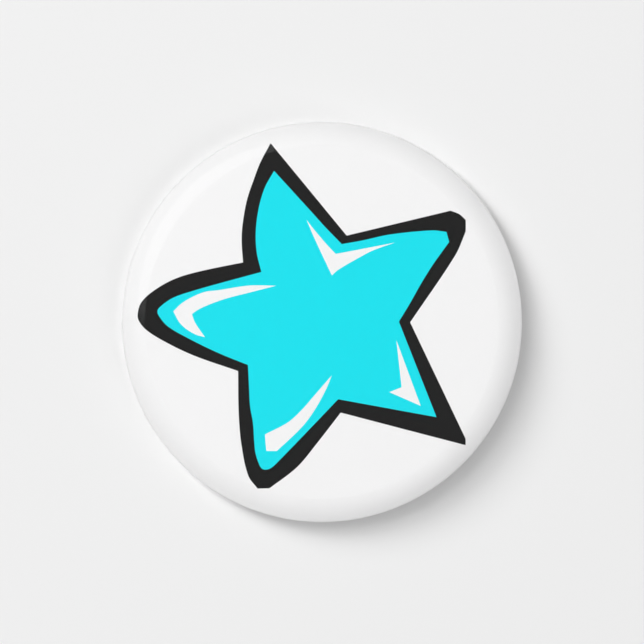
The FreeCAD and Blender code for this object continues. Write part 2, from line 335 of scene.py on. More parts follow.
GLINTS = {
    "glint_top": """
        -2.2 14.5 corner, -1.15 13.15 smooth, 0.5 11.2 smooth, 1.95 9.65 corner, 10.3 11.25 corner,
        7.35 10.2 smooth, 5.65 9.35 smooth, 2.3 7.4 smooth, 1.4 6.6 corner, -1.15 12.05 smooth
    """,
    "glint_left": """
        -6.5 5.15 corner, -9.7 5.2 smooth, -11.4 5.05 smooth, -14.8 4.5 smooth, -16.5 4.3 smooth,
        -18.2 3.65 smooth, -19.9 2.65 smooth, -21.1 1.5 corner, -20.0 -0.35 smooth, -18.1 -1.7 smooth,
        -16.6 -2.15 corner, -18.0 -0.1 smooth, -18.45 1.15 corner, -17.2 1.95 smooth,
        -14.0 3.2 smooth, -9.8 4.3 smooth
    """,
    "glint_bottom": """
        1.4 -7.55 corner, -1.15 -10.5 smooth, -2.9 -12.5 smooth, -4.85 -14.25 smooth,
        -8.1 -15.95 corner, -7.9 -18.3 corner, -6.4 -18.3 corner, -2.9 -14.95 smooth,
        -1.15 -12.65 smooth, 0.5 -9.7 smooth
    """,
    "glint_right": "10.55 -2.6 corner, 14.0 -11.9 corner, 9.55 -9.95 corner, 11.3 -9.25 corner",
}
print("knots:", BLACK_EDGE.count(",") + 1, "black,", CYAN_EDGE.count(",") + 1, "cyan")

# %% [markdown]
# ## From knots to loops of edges
#
# A Bezier curve is the natural tool for such a drawing. Its handles are set free and placed by rule:
# at a corner they point at the neighbours, so the two sides meet at a clean angle, and at a smooth
# knot they lie in one line. The curve is then converted to a mesh, which can be used to cut.

# %% Tool for the outlines
CUTTER_LOW, CUTTER_HEIGHT = 2.2, 5.0     # the walls start below the shoulder and pass the top


def outline(name, knots):
    """A closed curve through the knots, as a flat loop of mesh edges below the shoulder."""
    points = [knot.split() for knot in knots.split(",")]
    curve = bpy.data.curves.new(name, "CURVE")
    curve.dimensions = "3D"
    curve.resolution_u = 10
    spline = curve.splines.new("BEZIER")
    spline.bezier_points.add(len(points) - 1)
    spline.use_cyclic_u = True
    places = [Vector((float(x), float(y), CUTTER_LOW)) * MM for x, y, _ in points]
    for index, point in enumerate(spline.bezier_points):
        before, here, after = places[index - 1], places[index], places[(index + 1) % len(places)]
        way_on = (after - before).normalized()
        point.handle_left_type = point.handle_right_type = "FREE"
        point.co = here
        if points[index][2] == "corner":
            point.handle_left = here.lerp(before, 1 / 3)
            point.handle_right = here.lerp(after, 1 / 3)
        else:
            point.handle_left = here - way_on * (here - before).length / 3
            point.handle_right = here + way_on * (after - here).length / 3
    piece = bpy.data.objects.new(name, curve)
    bpy.context.scene.collection.objects.link(piece)
    pick(piece)
    bpy.ops.object.convert(target="MESH")
    piece = bpy.context.object
    edit(piece)
    bpy.ops.mesh.remove_doubles(threshold=WELD)
    done()
    return piece


# %% [markdown]
# ## The printed sheet
#
# The paper follows the film at the film's thickness inwards, so it is drawn with the same steps and an
# inset. It stays a bare surface for now, because the cutting and the pleats both need one. A slot for
# each ink is added, and one more for the cutting walls.

# %% Bare sheet
WHITE, CYAN, BLACK, CUTTER = 0, 1, 2, 3
sheet_inset = BADGE_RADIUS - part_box("printed_sheet")[1].x / MM
sheet = draw_section("star_print", (0, TOP), RIM_STEPS, sheet_inset)
spin_round()
done()
face_forward(sheet)
for slot in (WHITE, CYAN, BLACK, CUTTER):
    sheet.data.materials.append(bpy.data.materials.new(f"slot_{slot}"))
print(f"sheet {sheet_inset:.2f} mm inside the film")

# %% [markdown]
# ## Cutting the star into the sheet
#
# The star is pressed into the sheet as with a set of cookie cutters: each outline is extruded into an
# upright wall, the walls are joined to the sheet, and Intersect cuts the sheet's faces along them. The
# walls are then deleted. The sheet stays one piece whose ink areas end on real edges, so they are
# crisp at any distance. Each loop's points are kept, to tell later what lies inside.

# %% Cutting walls
def loop_points(piece):
    """The points of a loop of edges in order, as pairs."""
    neighbours = {}
    for edge in piece.data.edges:
        for a, b in (edge.vertices, reversed(edge.vertices)):
            neighbours.setdefault(a, []).append(b)
    order = [0, neighbours[0][0]]
    while len(order) < len(piece.data.vertices):
        order.append(next(n for n in neighbours[order[-1]] if n != order[-2]))
    return [piece.data.vertices[index].co.xy.copy() for index in order]


loops = {}
for name, knots in {"black_edge": BLACK_EDGE, "cyan_edge": CYAN_EDGE, **GLINTS}.items():
    wall = outline(name, knots)
    loops[name] = loop_points(wall)
    edit(wall)
    extrude(UP * CUTTER_HEIGHT)
    done()
    for slot in sheet.data.materials:
        wall.data.materials.append(slot)
    for face in wall.data.polygons:
        face.material_index = CUTTER
    join(wall, sheet)

# %% [markdown]
# The walls and the sheet are now one mesh, and Intersect cuts what is selected with what is not. Cut
# faces with more than four sides are split into triangles, because the middle of a notched face can
# lie outside it.

# %% Cut
def select_slot(piece, slot):
    """Selects, in edit mode, just the faces that hold one material slot."""
    done()
    for face in piece.data.polygons:
        face.select = face.material_index == slot
    for edge in piece.data.edges:
        edge.select = False
    for vertex in piece.data.vertices:
        vertex.select = False
    bpy.ops.object.mode_set(mode="EDIT")
    bpy.ops.mesh.select_mode(type="FACE")


edit(sheet)
select_slot(sheet, CUTTER)
bpy.ops.mesh.intersect(mode="SELECT_UNSELECT", separate_mode="NONE", solver="EXACT")
select_slot(sheet, CUTTER)
bpy.ops.mesh.delete(type="FACE")
bpy.ops.mesh.select_mode(type="VERT")
bpy.ops.mesh.select_all(action="SELECT")
bpy.ops.mesh.remove_doubles(threshold=WELD)
bpy.ops.mesh.select_mode(type="FACE")
bpy.ops.mesh.select_all(action="DESELECT")
bpy.ops.mesh.select_face_by_sides(number=4, type="GREATER")
bpy.ops.mesh.quads_convert_to_tris()
done()
face_forward(sheet)

# %% [markdown]
# ## Inking
#
# Each face now lies wholly on one side of every outline, so the place of its middle tells its ink:
# black inside the outer edge, cyan inside the inner one, and bare paper in the glints and all round.

# %% Inks by place
def inside(place, loop):
    """True where a ray to the right crosses the loop an odd number of times."""
    crossings = 0
    for a, b in zip(loop, loop[1:] + loop[:1]):
        if (a.y > place.y) != (b.y > place.y):
            crossings += place.x < a.x + (place.y - a.y) / (b.y - a.y) * (b.x - a.x)
    return crossings % 2 == 1


counts = [0, 0, 0]
for face in sheet.data.polygons:
    ink = WHITE
    if face.center.z > CUTTER_LOW * MM and inside(face.center.xy, loops["black_edge"]):
        ink = CYAN if inside(face.center.xy, loops["cyan_edge"]) else BLACK
        if any(inside(face.center.xy, loops[name]) for name in GLINTS):
            ink = WHITE
    face.material_index = ink
    counts[ink] += 1
print("faces left white, cyan and black:", counts)

# %% [markdown]
# The sheet gets its pleats and its thickness last. Solidify copies each face with its ink, so the
# paper's hidden side is printed too, where it can't be seen.

# %% Pleats and thickness
PAPER_THICK = 0.12
pleat(sheet)
apply(sheet, "SOLIDIFY", thickness=PAPER_THICK * MM, offset=-1.0, use_even_offset=True)
smooth(sheet)
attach(sheet, "badge")
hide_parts("printed_sheet")

# %% [markdown]
# ## The back plate
#
# The back plate is stamped from thin tinplate: a flat floor for the clasp, a slanting wall, a ring
# with a raised bead that stiffens it, and a flange that stands inside the rolled rim. It could be
# lathed as a solid, but a sheet spun from its rear surface and then thickened keeps one even wall all
# over, as pressed metal has. The two rivet holes are drilled through the finished sheet.

# %% Back plate's measures
PLATE_THICK = 0.28
DISH_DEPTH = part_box("pin_bar")[1].z / MM
DISH_RADIUS, DISH_BEND, DISH_ANGLE = 17.2, 1.2, 50.0
BEAD_START, BEAD_RADIUS, BEAD_TURN = 22.4, 0.8, 30.0
RING_LEVEL = 1.62
FLANGE_RADIUS, FLANGE_BEND = 27.45, 0.35
FLANGE_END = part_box("back_plate")[0].z / MM
RIVET_X, RIVET_RADIUS = 6.2, 0.84
RIVET_PLAY, DRILL_LENGTH = 0.01, 2.0
print(f"dish floor at {DISH_DEPTH:.2f} mm, flange down to {FLANGE_END:.2f} mm")

# %% [markdown]
# ## Joining and drilling
#
# Holes, slots and unions are made with a boolean from a plain tool that is longer than what it cuts,
# so that no two faces lie in one plane. What it leaves is welded at three thousandths of a millimetre.

# %% Tools for joining
JOIN_WELD = 0.003 * MM
ROD_SIDES = 72


def combine(piece, tool, operation):
    """Adds a tool's shape to a piece, or takes it away, and removes the tool."""
    apply(piece, "BOOLEAN", object=tool, operation=operation, solver="EXACT")
    bpy.data.objects.remove(tool)
    edit(piece)
    bpy.ops.mesh.remove_doubles(threshold=JOIN_WELD)
    done()


def rod(radius, centre, along, length):
    """A plain round rod with its middle at centre, for a tool or for joining to a piece."""
    turn = UP.rotation_difference(along).to_euler()
    bpy.ops.object.select_all(action="DESELECT")
    bpy.ops.mesh.primitive_cylinder_add(
        vertices=ROD_SIDES, radius=radius * MM, depth=length * MM, location=centre * MM, rotation=turn,
    )
    return bpy.context.object


def drill(piece, radius, centre, along, length):
    """Drills a round hole through a piece."""
    combine(piece, rod(radius, centre, along, length), "DIFFERENCE")


# %% [markdown]
# The lengths that the plate's section needs between its bends follow from the places of the dish, the
# bead and the flange, so they are worked out rather than typed in.

# %% Back plate
dish_drop = 2 * DISH_BEND * (1 - math.cos(DISH_ANGLE * DEGREE))
wall = (DISH_DEPTH - RING_LEVEL - dish_drop) / math.sin(DISH_ANGLE * DEGREE)
dish_run = 2 * DISH_BEND * math.sin(DISH_ANGLE * DEGREE) + wall * math.cos(DISH_ANGLE * DEGREE)
bead_end = BEAD_START + 4 * BEAD_RADIUS * math.sin(BEAD_TURN * DEGREE)
PLATE_STEPS = [
    ("line", DISH_RADIUS),
    ("arc", DISH_BEND, DISH_ANGLE),
    ("line", wall),
    ("arc", DISH_BEND, -DISH_ANGLE),
    ("line", BEAD_START - DISH_RADIUS - dish_run),
    ("arc", BEAD_RADIUS, BEAD_TURN),
    ("arc", BEAD_RADIUS, -2 * BEAD_TURN),
    ("arc", BEAD_RADIUS, BEAD_TURN),
    ("line", FLANGE_RADIUS - FLANGE_BEND - bead_end),
    ("arc", FLANGE_BEND, 90.0, 8),
    ("line", RING_LEVEL - FLANGE_BEND - FLANGE_END),
]
plate = draw_section("dished_plate", (0, DISH_DEPTH), PLATE_STEPS)
spin_round(steps=256)
done()
face_forward(plate)
apply(plate, "SOLIDIFY", thickness=PLATE_THICK * MM, offset=1.0, use_even_offset=True)
for x in (-RIVET_X, RIVET_X):
    drill(plate, RIVET_RADIUS + RIVET_PLAY, Vector((x, 0, DISH_DEPTH)), UP, DRILL_LENGTH)
smooth(plate)
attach(plate, "badge")
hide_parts("back_plate")

# %% [markdown]
# ## Drawing round a list of corners
#
# The clasp's small pieces are easier to describe by their corners than by runs and bends. One point is
# extruded straight from corner to corner, and at each corner with a radius it is spun round the
# rounding's centre instead. A closed outline can be filled and extruded, and an open one that starts
# and ends on an axis can be spun into a turned piece.

# %% Tool for drawing round corners
CORNER_STEP = 9            # degrees of rounding to each facet


def draw_corners(name, corners, across, along, origin=Vector(), closed=False):
    """Draws through corners (across, along, rounding radius) in mm. The line stays in edit mode."""
    points = [origin + across * corner[0] + along * corner[1] for corner in corners]
    radii = [corner[2] if len(corner) > 2 else 0.0 for corner in corners]
    if closed:
        points.append(points[0])
        radii.append(0.0)
    piece = one_point(name, points[0])
    place = points[0]
    for before, corner, after, radius in zip(points, points[1:], points[2:] + [None], radii[1:]):
        if radius == 0 or after is None:
            extrude(corner - place)
            place = corner
            continue
        come, go = (corner - before).normalized(), (after - corner).normalized()
        turn = come.angle(go)
        reach = radius * math.tan(turn / 2)
        begin = corner - come * reach
        centre = begin + (go - come * come.dot(go)).normalized() * radius
        extrude(begin - place)
        steps = max(3, round(turn / DEGREE / CORNER_STEP))
        bpy.ops.mesh.spin(steps=steps, angle=turn, center=centre * MM, axis=-come.cross(go))
        place = corner + go * reach
    if closed:
        bpy.ops.mesh.select_all(action="SELECT")
        bpy.ops.mesh.remove_doubles(threshold=WELD)
    return piece


# %% [markdown]
# From such a line come the two kinds of piece that the clasp is made of: turned ones, spun round their
# axis as on a lathe, and flat ones, filled and extruded as cut from sheet. Edges are softened with
# Bevel, after flat joins are dissolved so that they don't turn into ridges.

# %% Tools for turned and flat pieces
def turned(name, corners, across, along, origin, closed=False, steps=64):
    """A turned piece: the outline is drawn beside the axis through origin, and spun round it."""
    piece = draw_corners(name, corners, across, along, origin, closed)
    spin_round(origin, along, steps)
    done()
    return piece


def plate_piece(name, corners, across, along, origin, thickness):
    """A flat piece: the closed outline is filled and extruded by the thickness, a vector."""
    piece = draw_corners(name, corners, across, along, origin, closed=True)
    bpy.ops.mesh.select_all(action="SELECT")
    bpy.ops.mesh.edge_face_add()
    extrude(thickness)
    bpy.ops.mesh.select_all(action="SELECT")
    bpy.ops.mesh.normals_make_consistent(inside=False)
    done()
    return piece


def soften(piece, width, segments=3):
    """Dissolves flat joins, then rounds every remaining edge a little."""
    edit(piece)
    bpy.ops.mesh.dissolve_limited(angle_limit=0.5 * DEGREE)
    done()
    apply(
        piece, "BEVEL", width=width * MM, segments=segments, limit_method="ANGLE",
        angle_limit=35 * DEGREE, harden_normals=False, use_clamp_overlap=True,
    )


# %% [markdown]
# ## The brooch bar
#
# The bar is one strip of sheet: wide where it is riveted, necked down at the hinge, where two ears are
# folded up, and with a tongue at the other end that is curled into the catch ring. Each of these
# is made apart and they are united into one piece. The ears are a U bent from the strip's end: a
# long U is cut to the ears' round outline, so its bend and its round tops come out right together.

# %% Strip and ears
BAR_THICK = 0.55
BAR_HALF = 2.5
BAR_LEFT, BAR_RIGHT, BAR_CORNER = -9.4, 14.4, 1.2
BAR_FACE = DISH_DEPTH - BAR_THICK
NECK_HALF, NECK_FILLET = 1.05, 0.45
EAR_RADIUS, EAR_THICK = 1.15, 0.50
FOLD_RADIUS = 0.30
LONG = 10.0                # for tools, longer than anything they cut
joint_places = {joint["name"]: Vector(joint["pos_m"]) / MM for joint in frame["joints"]}
HINGE = joint_places["stem_hinge"]
CATCH = joint_places["catch_turn"]
print("hinge and catch at", HINGE, CATCH)
ear_end = HINGE.x + EAR_RADIUS
bar = plate_piece("brooch_bar", [
    (ear_end, -NECK_HALF),
    (BAR_LEFT, -NECK_HALF, NECK_FILLET),
    (BAR_LEFT, -BAR_HALF, BAR_CORNER),
    (BAR_RIGHT, -BAR_HALF, BAR_CORNER),
    (BAR_RIGHT, BAR_HALF, BAR_CORNER),
    (BAR_LEFT, BAR_HALF, BAR_CORNER),
    (BAR_LEFT, NECK_HALF, NECK_FILLET),
    (ear_end, NECK_HALF),
], RIGHT, BACK, UP * BAR_FACE, UP * BAR_THICK)
ears = plate_piece("ears", [
    (-NECK_HALF, -LONG),
    (-NECK_HALF, DISH_DEPTH - HINGE.z, FOLD_RADIUS),
    (NECK_HALF, DISH_DEPTH - HINGE.z, FOLD_RADIUS),
    (NECK_HALF, -LONG),
    (NECK_HALF - EAR_THICK, -LONG),
    (NECK_HALF - EAR_THICK, BAR_FACE - HINGE.z, 0.08),
    (EAR_THICK - NECK_HALF, BAR_FACE - HINGE.z, 0.08),
    (EAR_THICK - NECK_HALF, -LONG),
], BACK, UP, HINGE - RIGHT * 2 * EAR_RADIUS, RIGHT * 4 * EAR_RADIUS)
ear_outline = plate_piece("ear_outline", [
    (-EAR_RADIUS, LONG),
    (-EAR_RADIUS, -EAR_RADIUS, EAR_RADIUS),
    (EAR_RADIUS, -EAR_RADIUS, EAR_RADIUS),
    (EAR_RADIUS, LONG),
], RIGHT, UP, HINGE - BACK * LONG, BACK * 2 * LONG)
combine(ears, ear_outline, "INTERSECT")
combine(bar, ears, "UNION")
print("strip with ears:", len(bar.data.polygons), "faces")

# %% [markdown]
# ## The catch ring
#
# On the real bar the tongue is curled into a ring. A short rod and a foot are united with the strip,
# which gives the same outside, and the bore and the mouth are then cut through both. The mouth looks
# down, away from the badge, so that the stem can leave it.

# %% Catch ring and holes
RING_RADIUS, RING_START, RING_END = 1.45, 10.5, 12.5
RING_BORE, MOUTH_HALF, FOOT_HALF = 1.05, 0.56, 0.8
HINGE_HOLE = 0.50
ring_middle = (RING_START + RING_END) / 2
ring_width = RING_END - RING_START
combine(bar, rod(RING_RADIUS, Vector((ring_middle, 0, CATCH.z)), RIGHT, ring_width), "UNION")
foot_top = BAR_FACE + BAR_THICK / 2 - CATCH.z
foot = plate_piece("foot", [
    (-FOOT_HALF, 0), (FOOT_HALF, 0), (FOOT_HALF, foot_top), (-FOOT_HALF, foot_top),
], BACK, UP, Vector((RING_START, 0, CATCH.z)), RIGHT * ring_width)
combine(bar, foot, "UNION")
drill(bar, RING_BORE, Vector((ring_middle, 0, CATCH.z)), RIGHT, ring_width + 1)
mouth = plate_piece("mouth", [
    (-MOUTH_HALF, 0), (MOUTH_HALF, 0), (MOUTH_HALF, -LONG), (-MOUTH_HALF, -LONG),
], BACK, UP, Vector((RING_START - 0.5, 0, CATCH.z)), RIGHT * (ring_width + 1))
combine(bar, mouth, "DIFFERENCE")
drill(bar, HINGE_HOLE, HINGE, BACK, LONG)
for x in (-RIVET_X, RIVET_X):
    drill(bar, RIVET_RADIUS + RIVET_PLAY, Vector((x, 0, DISH_DEPTH)), UP, DRILL_LENGTH)
print("bar with its ring and holes:", len(bar.data.polygons), "faces")

# %% [markdown]
# All the bar's edges are softened together, as tumbling in a drum does. Weighted normals then keep its
# flat faces flat in the light right up to their rounded edges.

# %% Softened edges
def smooth_metal(piece):
    """Smooth shading whose flat faces stay flat up to their rounded edges."""
    smooth(piece, 35)
    apply(piece, "WEIGHTED_NORMAL", keep_sharp=True, weight=100)


soften(bar, 0.07)
smooth_metal(bar)
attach(bar, "badge")
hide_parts("pin_bar")

# %% [markdown]
# ## Rivets
#
# A rivet is turned about its own axis, so its outline is drawn on one side of the axis and spun. The
# bar rivets have a low domed head on the bar and a clinched end inside the badge. The second one is a
# copy of the first with its own mesh, and the two are joined because they are one fastener set.

# %% Bar rivets
HEAD_RADIUS, HEAD_THICK = 1.5, 0.40
CLINCH_RADIUS, CLINCH_THICK, CLINCH_DIMPLE = 1.4, 0.30, 0.12
head_low = BAR_FACE - HEAD_THICK
clinch_base = DISH_DEPTH + PLATE_THICK
clinch_end = clinch_base + CLINCH_THICK
rivets = turned("bar_rivets_domed", [
    (0, head_low),
    (HEAD_RADIUS * 0.5, head_low, 4.0),
    (HEAD_RADIUS, head_low + 0.18, 0.2),
    (HEAD_RADIUS, BAR_FACE),
    (RIVET_RADIUS, BAR_FACE),
    (RIVET_RADIUS, clinch_base),
    (CLINCH_RADIUS, clinch_base, 0.05),
    (CLINCH_RADIUS, clinch_end, 0.15),
    (0.5, clinch_end, 0.1),
    (0.4, clinch_end - CLINCH_DIMPLE, 0.1),
    (0, clinch_end - CLINCH_DIMPLE),
], RIGHT, UP, Vector((-RIVET_X, 0, 0)))
pick(rivets)
bpy.ops.object.duplicate()
second = bpy.context.object
edit(second)
bpy.ops.transform.translate(value=RIGHT * 2 * RIVET_X * MM)
done()
join(second, rivets)
smooth_metal(rivets)
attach(rivets, "badge")
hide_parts("bar_rivets")

# %% [markdown]
# ## The hinge's pin
#
# A short rod goes through both ears and the stem's eye, and is headed at each end so that it can't
# fall out. It is turned like the rivets, but about an axis that lies across the badge.

# %% Hinge pin
PIN_RADIUS, PIN_HEAD_RADIUS, PIN_HEAD_THICK = 0.49, 0.85, 0.35
pin_end = NECK_HALF + PIN_HEAD_THICK
hinge_pin = turned("hinge_pin", [
    (0, -pin_end),
    (PIN_HEAD_RADIUS * 0.5, -pin_end, 1.0),
    (PIN_HEAD_RADIUS, -pin_end + 0.12, 0.15),
    (PIN_HEAD_RADIUS, -NECK_HALF),
    (PIN_RADIUS, -NECK_HALF),
    (PIN_RADIUS, NECK_HALF),
    (PIN_HEAD_RADIUS, NECK_HALF),
    (PIN_HEAD_RADIUS, pin_end - 0.12, 0.15),
    (PIN_HEAD_RADIUS * 0.5, pin_end, 1.0),
    (0, pin_end),
], UP, BACK, HINGE)
smooth_metal(hinge_pin)
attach(hinge_pin, "badge")
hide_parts("hinge_rivet")

# %% [markdown]
# ## The pin stem
#
# The stem is a hard wire, ground to a point at one end and flattened into an eye at the other, with a
# small heel that stops it when it stands open. The eye is a ring turned about the hinge, the wire is
# turned about its own length, and the heel is a bar from the eye: the three are united.

# %% Pin stem
EYE_RADIUS, EYE_HALF, EYE_BORE = 1.05, 0.45, 0.53
HEEL_ANGLE, HEEL_START, HEEL_REACH, HEEL_HALF = 45.0, 0.8, 1.50, 0.35
WIRE_RADIUS, TIP_RADIUS, POINT_RADIUS = 0.45, 0.40, 0.06
ROOT_RADIUS, ROOT_START = 0.39, HINGE.x + 0.7      # where the wire leaves the eye
SHANK_START, SHANK_END, TAPER_END = -10.2, 9.3, 9.8
POINT_START, POINT_END = 13.0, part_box("pin_stem")[1].x / MM
stem = turned("pin_stem_wire", [
    (EYE_BORE, -EYE_HALF),
    (EYE_RADIUS, -EYE_HALF, 0.12),
    (EYE_RADIUS, EYE_HALF, 0.12),
    (EYE_BORE, EYE_HALF, 0.05),
    (EYE_BORE, 0),
], UP, BACK, HINGE, closed=True)
heel_way = -RIGHT * math.cos(HEEL_ANGLE * DEGREE) - UP * math.sin(HEEL_ANGLE * DEGREE)
heel_side = heel_way.cross(BACK)
heel = plate_piece("heel", [
    (HEEL_START, -HEEL_HALF),
    (HEEL_REACH, -HEEL_HALF, 0.1),
    (HEEL_REACH, HEEL_HALF, 0.1),
    (HEEL_START, HEEL_HALF),
], heel_way, heel_side, HINGE - BACK * EYE_HALF, BACK * 2 * EYE_HALF)
combine(stem, heel, "UNION")
wire = turned("wire", [
    (0, ROOT_START),
    (ROOT_RADIUS, ROOT_START),
    (WIRE_RADIUS, SHANK_START, 8.0),
    (WIRE_RADIUS, SHANK_END, 3.0),
    (TIP_RADIUS, TAPER_END, 3.0),
    (TIP_RADIUS, POINT_START, 6.0),
    (POINT_RADIUS, POINT_END - 0.05, 0.05),
    (0, POINT_END),
], UP, RIGHT, Vector((0, 0, HINGE.z)))
combine(stem, wire, "UNION")
smooth_metal(stem)
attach(stem, "stem")
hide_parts("pin_stem")

# %% [markdown]
# ## The locking barrel
#
# The barrel is turned with a bore and a flange at each end. A slot as wide as the stem is then cut
# along it, and the thumb lever is united with its outer flange. The slot is cut before the lever is
# added, so that the lever stays whole.

# %% Locking barrel
BARREL_START, BARREL_END = 9.9, 13.3
BARREL_RADIUS, BARREL_FLANGE, BARREL_BORE = 1.0, 1.30, 0.52
INNER_FLANGE_END, OUTER_FLANGE_START = 10.4, 12.6
SLOT_HALF = 0.51
LEVER_ANGLE, LEVER_REACH, LEVER_HALF = 160.0, 2.3, 0.35
barrel = turned("locking_barrel", [
    (BARREL_BORE, BARREL_START),
    (BARREL_FLANGE, BARREL_START, 0.1),
    (BARREL_FLANGE, INNER_FLANGE_END, 0.06),
    (BARREL_RADIUS, INNER_FLANGE_END),
    (BARREL_RADIUS, OUTER_FLANGE_START),
    (BARREL_FLANGE, OUTER_FLANGE_START, 0.06),
    (BARREL_FLANGE, BARREL_END, 0.1),
    (BARREL_BORE, BARREL_END),
], UP, RIGHT, Vector((0, 0, CATCH.z)), closed=True, steps=96)
slot_tool = plate_piece("slot", [
    (-SLOT_HALF, 0), (SLOT_HALF, 0), (SLOT_HALF, -LONG), (-SLOT_HALF, -LONG),
], BACK, UP, Vector((BARREL_START - 1, 0, CATCH.z)), RIGHT * LONG)
combine(barrel, slot_tool, "DIFFERENCE")
lever_way = BACK * math.cos(LEVER_ANGLE * DEGREE) - UP * math.sin(LEVER_ANGLE * DEGREE)
lever_side = lever_way.cross(RIGHT)
lever_start = OUTER_FLANGE_START
lever = plate_piece("lever", [
    (BARREL_RADIUS, -LEVER_HALF),
    (LEVER_REACH, -LEVER_HALF, LEVER_HALF),
    (LEVER_REACH, LEVER_HALF, LEVER_HALF),
    (BARREL_RADIUS, LEVER_HALF),
], lever_way, lever_side, Vector((lever_start, 0, CATCH.z)), RIGHT * (BARREL_END - lever_start))
combine(barrel, lever, "UNION")
soften(barrel, 0.04, 2)
smooth_metal(barrel)
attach(barrel, "barrel")
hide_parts("catch_barrel")

# %% [markdown]
# ## Shader maths in plain Python
#
# Finishes are built from nodes. A small class wraps a node's output, so that a pattern can be written
# as a sum or a product instead of a list of Math nodes and links.

# %% Tools for finishes
class Wire:
    """One output of a shader node, to be used in Python expressions."""

    def __init__(self, tree, output):
        self.tree = tree
        self.output = output

    def maths(self, operation, first, second):
        return node(self.tree, "Math", {"operation": operation}, {0: first, 1: second})

    def __add__(self, other):
        return self.maths("ADD", self, other)

    def __sub__(self, other):
        return self.maths("SUBTRACT", self, other)

    def __rsub__(self, other):
        return self.maths("SUBTRACT", other, self)

    def __mul__(self, other):
        return self.maths("MULTIPLY", self, other)

    __radd__ = __add__
    __rmul__ = __mul__


def node(tree, kind, settings=None, sockets=None, output=0):
    """A new node. Its settings are made first and its sockets then set or linked."""
    made = tree.nodes.new("ShaderNode" + kind)
    for name, value in (settings or {}).items():
        setattr(made, name, value)
    for name, value in (sockets or {}).items():
        if isinstance(value, Wire):
            tree.links.new(value.output, made.inputs[name])
        else:
            made.inputs[name].default_value = value
    return Wire(tree, made.outputs[output]) if made.outputs else None


# %% [markdown]
# Patterns are read from the piece's own coordinates in millimetres, so that a grain has its true size
# and stays on the piece when the piece moves.

# %% Tools for patterns
def new_finish(name):
    """An empty material and its node tree."""
    material = bpy.data.materials.new(name)
    material.use_nodes = True
    material.node_tree.nodes.clear()
    return material, material.node_tree


def show(tree, shader):
    node(tree, "OutputMaterial", sockets={"Surface": shader})


def on_piece(tree, stretch=(1, 1, 1)):
    """The piece's own coordinates in millimetres, stretched for a grain."""
    place = node(tree, "TexCoord", output="Object")
    scale = tuple(factor / MM for factor in stretch)
    return node(tree, "Mapping", {"vector_type": "POINT"}, {"Vector": place, "Scale": scale})


def noise(tree, place, scale, detail=2.0):
    """Cloud noise between 0 and 1. The scale is in lumps to the millimetre."""
    return node(tree, "TexNoise", sockets={"Vector": place, "Scale": scale, "Detail": detail})


def between(tree, amount, low, high):
    """A colour mixed between two by an amount. Each is three numbers or another wire."""
    ends = [end if isinstance(end, Wire) else (*end, 1) for end in (low, high)]
    sockets = {"Factor": amount, 6: ends[0], 7: ends[1]}
    return node(tree, "Mix", {"data_type": "RGBA"}, sockets, output=2)


def bump(tree, height, depth):
    """A normal for a height of 0 to 1 that is depth millimetres high."""
    return node(tree, "Bump", sockets={"Height": height, "Strength": 1.0, "Distance": depth * MM})


# %% [markdown]
# ## Paper and ink
#
# Offset ink lies almost flat on coated paper: its colour is even, with a faint mottle where the
# paper takes it unevenly, and the paper's fibres give both a very fine tooth.

# %% Paper and ink finishes
PAPER_WHITE = (0.92, 0.918, 0.92)
INK_CYAN = (0.001, 0.777, 0.875)
INK_BLACK = (0.004, 0.004, 0.004)


def printed_finish(name, colour, mottle):
    """Coated paper in one colour. Mottle is how much darker the unevenly printed spots are."""
    material, tree = new_finish(name)
    place = on_piece(tree)
    fibres = noise(tree, place, 9.0, 4.0)
    cloud = noise(tree, place, 0.9, 3.0)
    spots = fibres * 0.5 + cloud * 0.5
    darker = tuple(value * (1 - mottle) for value in colour)
    paint = between(tree, spots, darker, colour)
    rough = fibres * 0.2 + 0.45
    sockets = {"Base Color": paint, "Roughness": rough, "Specular IOR Level": 0.0}
    sockets["Normal"] = bump(tree, fibres, 0.004)
    show(tree, node(tree, "BsdfPrincipled", sockets=sockets))
    return material


for slot, (name, colour, mottle) in enumerate((
    ("paper_white", PAPER_WHITE, 0.015),
    ("ink_cyan", INK_CYAN, 0.03),
    ("ink_black", INK_BLACK, 0.3),
)):
    sheet.data.materials[slot] = printed_finish(name, colour, mottle)
sheet.data.materials.pop(index=CUTTER)
print("inks:", [material.name for material in sheet.data.materials])

# %% [markdown]
# ## Clear film
#
# The film only adds gloss. Light passes straight through it, and what it mirrors follows the Fresnel
# law, little where it is seen square on and more on the rounded shoulder. Its surface is not quite
# flat, which breaks up reflections a little. Only its outer side mirrors, or the closed film
# would count every reflection twice.

# %% Film finish
FILM_IOR = 1.60            # polyester


def film_finish():
    material, tree = new_finish("clear_film")
    place = on_piece(tree)
    waves = noise(tree, place, 0.35, 2.0)
    specks = noise(tree, place, 6.0, 2.0)
    normal = bump(tree, waves, 0.01)
    rough = specks * 0.06 + 0.12
    sockets = {"Color": (1, 1, 1, 1), "Roughness": rough, "Normal": normal}
    gloss = node(tree, "BsdfAnisotropic", sockets=sockets)
    clear = node(tree, "BsdfTransparent", sockets={"Color": (0.99, 0.99, 0.99, 1)})
    mirrored = node(tree, "Fresnel", sockets={"IOR": FILM_IOR, "Normal": normal})
    inner_side = node(tree, "NewGeometry", output="Backfacing")
    share = mirrored * (1 - inner_side)
    show(tree, node(tree, "MixShader", sockets={0: share, 1: clear, 2: gloss}))
    return material


film.data.materials.append(film_finish())
print("film finish on", film.name)

# %% [markdown]
# ## Metals
#
# Tinplate, nickel plate and hard steel are all bright, and it is their marks that tell them apart.
# Sheet keeps the fine lines of the rolling mill, plating is smoother and a little warm, and wire keeps
# lines along its length from being drawn. Each finish is a metal with those lines as roughness and
# bump, a haze from handling, some stray scratches, and edges that are rubbed brighter.

